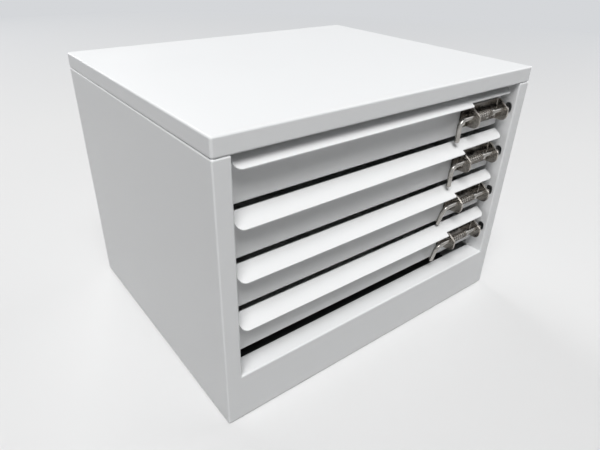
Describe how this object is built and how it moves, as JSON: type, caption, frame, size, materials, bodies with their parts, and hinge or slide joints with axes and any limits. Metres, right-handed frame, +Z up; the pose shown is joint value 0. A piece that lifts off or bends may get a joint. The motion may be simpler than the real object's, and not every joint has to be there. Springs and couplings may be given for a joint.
{
  "type": "drawer unit",
  "caption": "Low steel cabinet with shallow drawers under sloping finger lips, each drawer held by a spring bolt with a bent handle that enters a slot in the right stile.",
  "frame": {"origin": "middle of the base, on the floor", "axes": "+X to the right seen from the front, +Y to the back, +Z up"},
  "size_m": [0.6, 0.4914, 0.435],
  "materials": {
    "white_paint": "satin white powder coat",
    "latch_plate": "bright nickel plate",
    "spring_steel": "plated spring wire",
    "runner_steel": "zinc plated",
    "fastener_steel": "zinc plated"
  },
  "bodies": {
    "carcass": {"side_panel_left": "white_paint", "side_panel_right": "white_paint", "back_panel": "white_paint", "base_pan": "white_paint", "bottom_rail": "white_paint", "top_cover": "white_paint", "upright_left": "white_paint", "upright_right": "white_paint", "back_rivets": "fastener_steel", "cover_screws": "fastener_steel", "slide_outer_left_1": "runner_steel", "slide_outer_right_1": "runner_steel", "slide_outer_left_2": "runner_steel", "slide_outer_right_2": "runner_steel", "slide_outer_left_3": "runner_steel", "slide_outer_right_3": "runner_steel", "slide_outer_left_4": "runner_steel", "slide_outer_right_4": "runner_steel"},
    "drawer_1": {"drawer_front_1": "white_paint", "drawer_tray_1": "white_paint", "slide_inner_left_1": "runner_steel", "slide_inner_right_1": "runner_steel", "latch_bracket_1": "latch_plate", "latch_fixings_1": "fastener_steel", "latch_spring_1": "spring_steel"},
    "collar_1": {"latch_collar_1": "latch_plate"},
    "bolt_1": {"latch_bolt_1": "latch_plate", "latch_pin_1": "latch_plate"},
    "drawer_2": {"drawer_front_2": "white_paint", "drawer_tray_2": "white_paint", "slide_inner_left_2": "runner_steel", "slide_inner_right_2": "runner_steel", "latch_bracket_2": "latch_plate", "latch_fixings_2": "fastener_steel", "latch_spring_2": "spring_steel"},
    "collar_2": {"latch_collar_2": "latch_plate"},
    "bolt_2": {"latch_bolt_2": "latch_plate", "latch_pin_2": "latch_plate"},
    "drawer_3": {"drawer_front_3": "white_paint", "drawer_tray_3": "white_paint", "slide_inner_left_3": "runner_steel", "slide_inner_right_3": "runner_steel", "latch_bracket_3": "latch_plate", "latch_fixings_3": "fastener_steel", "latch_spring_3": "spring_steel"},
    "collar_3": {"latch_collar_3": "latch_plate"},
    "bolt_3": {"latch_bolt_3": "latch_plate", "latch_pin_3": "latch_plate"},
    "drawer_4": {"drawer_front_4": "white_paint", "drawer_tray_4": "white_paint", "slide_inner_left_4": "runner_steel", "slide_inner_right_4": "runner_steel", "latch_bracket_4": "latch_plate", "latch_fixings_4": "fastener_steel", "latch_spring_4": "spring_steel"},
    "collar_4": {"latch_collar_4": "latch_plate"},
    "bolt_4": {"latch_bolt_4": "latch_plate", "latch_pin_4": "latch_plate"}
  },
  "joints": [
    {"name": "drawer_slide_1", "type": "slide", "parent": "carcass", "child": "drawer_1", "axis": [0, -1, 0], "range_m": [0, 0.3]},
    {"name": "bolt_shift_1", "type": "slide", "parent": "drawer_1", "child": "collar_1", "axis": [1, 0, 0], "range_m": [-0.014, 0.012], "stiffness_N_per_m": 300, "springref_m": 0.02, "deforming": ["latch_spring_1"]},
    {"name": "bolt_turn_1", "type": "hinge", "parent": "collar_1", "child": "bolt_1", "pos_m": [0.2275, -0.2325, 0.36675], "axis": [-1, 0, 0], "range_deg": [-14.3, 120]},
    {"name": "drawer_slide_2", "type": "slide", "parent": "carcass", "child": "drawer_2", "axis": [0, -1, 0], "range_m": [0, 0.3]},
    {"name": "bolt_shift_2", "type": "slide", "parent": "drawer_2", "child": "collar_2", "axis": [1, 0, 0], "range_m": [-0.014, 0.012], "stiffness_N_per_m": 300, "springref_m": 0.02, "deforming": ["latch_spring_2"]},
    {"name": "bolt_turn_2", "type": "hinge", "parent": "collar_2", "child": "bolt_2", "pos_m": [0.2275, -0.2325, 0.289], "axis": [-1, 0, 0], "range_deg": [-14.3, 120]},
    {"name": "drawer_slide_3", "type": "slide", "parent": "carcass", "child": "drawer_3", "axis": [0, -1, 0], "range_m": [0, 0.3]},
    {"name": "bolt_shift_3", "type": "slide", "parent": "drawer_3", "child": "collar_3", "axis": [1, 0, 0], "range_m": [-0.014, 0.012], "stiffness_N_per_m": 300, "springref_m": 0.02, "deforming": ["latch_spring_3"]},
    {"name": "bolt_turn_3", "type": "hinge", "parent": "collar_3", "child": "bolt_3", "pos_m": [0.2275, -0.2325, 0.21125], "axis": [-1, 0, 0], "range_deg": [0, 134.3]},
    {"name": "drawer_slide_4", "type": "slide", "parent": "carcass", "child": "drawer_4", "axis": [0, -1, 0], "range_m": [0, 0.3]},
    {"name": "bolt_shift_4", "type": "slide", "parent": "drawer_4", "child": "collar_4", "axis": [1, 0, 0], "range_m": [-0.014, 0.012], "stiffness_N_per_m": 300, "springref_m": 0.02, "deforming": ["latch_spring_4"]},
    {"name": "bolt_turn_4", "type": "hinge", "parent": "collar_4", "child": "bolt_4", "pos_m": [0.2275, -0.2325, 0.1335], "axis": [-1, 0, 0], "range_deg": [0, 134.3]}
  ]
}
